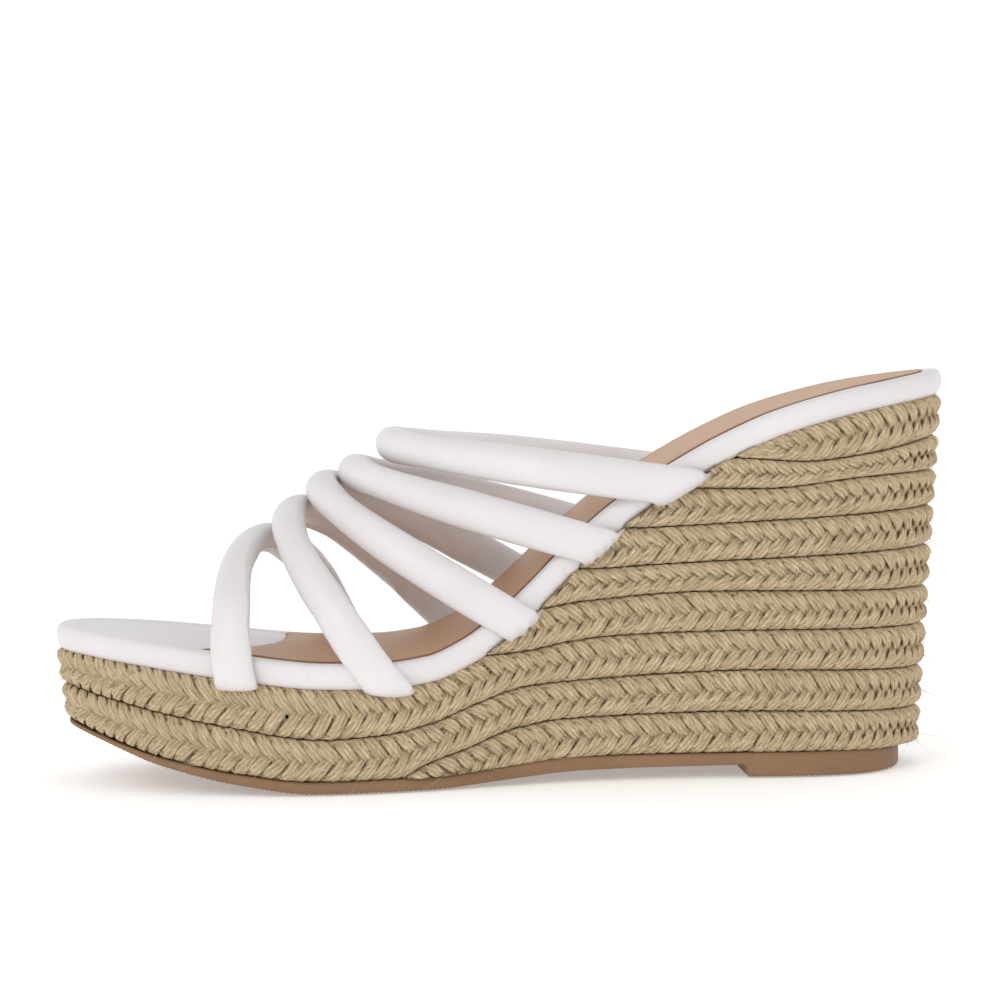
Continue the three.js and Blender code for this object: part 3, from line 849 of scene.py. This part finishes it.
# ------------------------------------------------------------ straps
STRAP_SIDES = 48
STRAP_STEPS = 150
STUFFING_TRIM = 1.3  # the stuffing is smaller than its cover by this much on every side
HELD_SHARE = 0.08  # this share of a strap at each end is held while it is blown up
PUFF_FRAMES = 10
PUFF_PRESSURE = 1.5
PUFF_SLACK = 0.006  # the cloth's spare length, as a share
PUFF_LIMIT = 0.35  # no point moves further than this
STRAP_GAP = 0.3  # from the footbed's edge to the strap that passes it
STRAP_RUN_OUT = 8.4  # a strap's ends go on this far past the footbed's lower edge
FOLD_START = 1.2  # above the footbed's underside, where a strap starts to bend under it
FOLD_LENGTH = 3.5
FOLD_RADIUS = 1.2
FOLD_THINNING = 0.85


def strap_frame(strap):
    """Middle of a strap's feet, the way up to its crest and the way out to its near foot."""
    clear = STRAP_GAP + STRAP_END_THICKNESS / 2
    near_x, far_x = strap["near"], strap["far"]
    near = np.array([near_x, -near_half_width(near_x) - clear, footbed_underside(near_x)])
    far = np.array([far_x, far_half_width(far_x) + clear, footbed_underside(far_x)])
    middle = (near + far) / 2
    rise = np.array([strap["crest_x"], middle[1], strap["crest_z"]]) - middle
    return middle, rise, (near - far) / 2


def strap_tube(strap, trim=0.0):
    """Points of a padded strap that thins where it wraps the footbed's edge and tucks under it.

    Trim makes the tube smaller on every side, for the stuffing inside.
    """
    middle, rise, reach = strap_frame(strap)
    run_out = STRAP_RUN_OUT / (np.linalg.norm(rise) * math.pi / 2)
    turn = np.linspace(-1 - run_out, 1 + run_out, STRAP_STEPS + 1)
    angle = np.clip(turn, -1, 1) * math.pi / 2
    past = np.maximum(np.abs(turn) - 1, 0)
    centre = middle + rise * (np.cos(angle) - past * math.pi / 2)[:, None] + reach * np.sin(angle)[:, None]
    pressed = smoothstep(np.abs(turn), 0.6, 1)
    centre[:, 0] -= strap["near_bend"] * np.where(turn > 0, pressed, 0)
    along = np.gradient(centre, axis=0)
    along /= np.linalg.norm(along, axis=1, keepdims=True)
    outward = FOOT_TOP_NORMAL * np.cos(angle)[:, None]
    outward[:, 1] -= np.sin(angle)
    outward -= along * np.sum(outward * along, axis=1, keepdims=True)
    outward /= np.linalg.norm(outward, axis=1, keepdims=True)
    across = np.cross(along, outward)
    free = smoothstep(np.abs(turn), 0.25, 0.65)
    width = STRAP_CREST_WIDTH + (STRAP_WIDTH - STRAP_CREST_WIDTH) * free
    width = (width + (STRAP_END_WIDTH - width) * pressed) / 2
    thick = (strap["thickness"] + (STRAP_END_THICKNESS - strap["thickness"]) * pressed) / 2
    corner = np.sqrt(np.maximum(1 - np.clip(past / run_out, 0, 1) ** 2, 0.02))
    width = width * corner - trim
    thick = thick - trim
    sides = np.linspace(0, 2 * math.pi, STRAP_SIDES, endpoint=False)
    cosine, sine = np.cos(sides), np.sin(sides)
    square = 1 + 0.06 * pressed[:, None] * np.abs(np.sin(2 * sides))[None, :]
    points = (
        centre[:, None, :]
        + across[:, None, :] * (width[:, None] * cosine[None, :] * square)[:, :, None]
        + outward[:, None, :] * (thick[:, None] * sine[None, :] * square)[:, :, None]
    )
    return wrap_under(points.reshape(-1, 3))


def wrap_under(points):
    """Bends what hangs below the footbed's lower edge round that edge, thinned by the pressure."""
    x, y, z = points.T
    side = np.sign(y)
    wall = np.where(side < 0, near_half_width(x), far_half_width(x))
    line = footbed_underside(x) + FOLD_START
    below = np.maximum(line - z, 0)
    bend = np.minimum(below / FOLD_LENGTH, 1) * math.pi / 2
    out = np.maximum(np.abs(y) - wall, 0) * (1 - FOLD_THINNING * np.sin(bend) ** 2)
    tail = np.maximum(below - FOLD_LENGTH, 0)
    folded_y = side * (wall - FOLD_RADIUS + (FOLD_RADIUS + out) * np.cos(bend) - tail)
    folded_z = line - (FOLD_RADIUS + out) * np.sin(bend)
    folds = (below > 0) & (np.abs(y) > wall - 1)
    return np.column_stack([x, np.where(folds, folded_y, y), np.where(folds, folded_z, z)])


def coordinates(mesh):
    """A mesh's points in metres, one to a row."""
    places = np.empty(len(mesh.vertices) * 3)
    mesh.vertices.foreach_get("co", places)
    return places.reshape(-1, 3)


def puff(piece):
    """Blows up a strap as cloth with a little slack, and caps how far each point may move."""
    scene = bpy.context.scene
    start = coordinates(piece.data)
    ring = np.arange(len(start)) // STRAP_SIDES
    free = np.clip(np.minimum(ring, STRAP_STEPS - ring) / (HELD_SHARE * STRAP_STEPS) - 1, 0, 1)
    held = piece.vertex_groups.new(name="held")
    for weight in np.unique(free):
        held.add(np.flatnonzero(free == weight).tolist(), 1 - weight, "REPLACE")
    cloth = piece.modifiers.new("puff", "CLOTH")
    cloth.point_cache.frame_end = PUFF_FRAMES
    settings = cloth.settings
    settings.vertex_group_mass = "held"
    settings.quality = 6
    settings.mass = 0.15
    settings.tension_stiffness = 15
    settings.compression_stiffness = 15
    settings.shear_stiffness = 5
    settings.bending_stiffness = 0.3
    settings.shrink_min = -PUFF_SLACK
    settings.use_pressure = True
    settings.uniform_pressure_force = PUFF_PRESSURE
    settings.effector_weights.gravity = 0
    for frame_number in range(1, PUFF_FRAMES + 1):
        scene.frame_set(frame_number)
    shape = piece.evaluated_get(bpy.context.evaluated_depsgraph_get()).to_mesh()
    move = coordinates(shape) - start
    length = np.linalg.norm(move, axis=1, keepdims=True)
    move *= np.minimum(1, PUFF_LIMIT * MM / np.maximum(length, 1e-9))
    piece.modifiers.remove(cloth)
    piece.vertex_groups.remove(held)
    piece.data.vertices.foreach_set("co", (start + move).ravel())
    scene.frame_set(1)


def strap(index):
    """One strap's leather tube, and the stuffing inside it."""
    points = strap_tube(STRAPS[index])
    rings = STRAP_STEPS + 1
    faces = ring_faces(rings, STRAP_SIDES) + end_caps(rings, STRAP_SIDES)
    piece = make_mesh(f"strap_{index + 1}", points, faces, LEATHER)
    puff(piece)
    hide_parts(f"strap_{index + 1}_cover")
    inside = make_mesh(f"stuffing_{index + 1}", strap_tube(STRAPS[index], STUFFING_TRIM), faces, STUFFING)
    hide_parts(f"strap_{index + 1}_stuffing")


# ------------------------------------------------------------ pieces that keep their CAD shape
def dress_inner_pieces():
    """The sealed inner pieces keep their CAD meshes and get finishes of their own."""
    finishes = {
        "wedge_core": foam("wedge_foam_cement", (0.10, 0.065, 0.035), (0.20, 0.14, 0.085), 420.0),
        "insole_board": board(),
        "steel_shank": shank_steel(),
        "footbed_foam": foam("footbed_foam", (0.72, 0.62, 0.38), (0.88, 0.80, 0.56), 700.0),
    }
    for name, material in finishes.items():
        for material_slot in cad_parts[name].material_slots:
            material_slot.material = material


# ------------------------------------------------------------ stage
def floor():
    """A wide pale floor, just below the sandal, with a faint glow that keeps it white."""
    n = Nodes("pale_floor")
    cloud = n.noise(n.place(), 3.0, 2.0)
    glow = [("Emission Color", (1.0, 1.0, 1.0, 1.0)), ("Emission Strength", 0.3)]
    color = n.ramp(cloud, [(0.0, (0.94, 0.94, 0.94)), (1.0, (0.96, 0.96, 0.96))])
    material = n.finish(color, 0.7, plain=glow)
    mesh = bpy.data.meshes.new("floor")
    reach = 60.0
    corners = [(-reach, -reach, 0), (reach, -reach, 0), (reach, reach, 0), (-reach, reach, 0)]
    mesh.from_pydata(corners, [], [(0, 1, 2, 3)])
    mesh.materials.append(material)
    plane = bpy.data.objects.new("floor", mesh)
    bpy.context.scene.collection.objects.link(plane)
    plane.location.z = -0.0004


def soft_light(name, place, size, power, target=(0, 0, 0.05)):
    """A round area light that faces the target."""
    light = bpy.data.lights.new(name, "AREA")
    light.shape = "DISK"
    light.size = size
    light.energy = power
    lamp = bpy.data.objects.new(name, light)
    bpy.context.scene.collection.objects.link(lamp)
    lamp.location = place
    lamp.rotation_euler = (Vector(target) - Vector(place)).to_track_quat("-Z", "Y").to_euler()


def lights():
    """A white surround, brightest at the horizon, and one soft key light."""
    world = bpy.data.worlds.new("soft_studio")
    world.use_nodes = True
    nodes, links = world.node_tree.nodes, world.node_tree.links
    background = nodes["Background"]
    background.inputs["Color"].default_value = (1.0, 1.0, 1.0, 1.0)
    direction = nodes.new("ShaderNodeTexCoord")
    parts = nodes.new("ShaderNodeSeparateXYZ")
    fade = nodes.new("ShaderNodeMapRange")
    fade.inputs["From Min"].default_value = 0.25
    fade.inputs["To Min"].default_value = 1.08
    fade.inputs["To Max"].default_value = 0.6
    links.new(direction.outputs["Generated"], parts.inputs["Vector"])
    links.new(parts.outputs["Z"], fade.inputs["Value"])
    links.new(fade.outputs["Result"], background.inputs["Strength"])
    bpy.context.scene.world = world
    soft_light("key", (-0.55, -1.05, 0.75), 0.6, 2.8)


def camera():
    """The camera stands near the big-toe side, low and a little towards the toe."""
    azimuth, elevation, roll = math.radians(-3.7), math.radians(3.4), math.radians(-0.8)
    distance = 0.85
    target = Vector((-0.0003, -0.0013, 0.0709))
    back = Vector((
        math.sin(azimuth) * math.cos(elevation),
        -math.cos(azimuth) * math.cos(elevation),
        math.sin(elevation),
    ))
    right = Vector((0, 0, 1)).cross(back).normalized()
    up = back.cross(right)
    turned_right = right * math.cos(roll) + up * math.sin(roll)
    turned_up = up * math.cos(roll) - right * math.sin(roll)
    lens = bpy.data.cameras.new("camera")
    lens.sensor_width = 36.0
    lens.lens = 116.35
    lens.clip_start = 0.05
    view = bpy.data.objects.new("camera", lens)
    bpy.context.scene.collection.objects.link(view)
    rotation = Matrix((turned_right, turned_up, back)).transposed()
    view.matrix_world = Matrix.Translation(target + back * distance) @ rotation.to_4x4()
    bpy.context.scene.camera = view


# ------------------------------------------------------------ assembly
outsole()
for row in range(ROW_COUNT):
    braid_row(row)
loose_hairs()
footbed()
sock_lining()
for number in range(len(STRAPS)):
    strap(number)
dress_inner_pieces()
floor()
lights()
camera()
bpy.context.scene.view_settings.view_transform = "Standard"
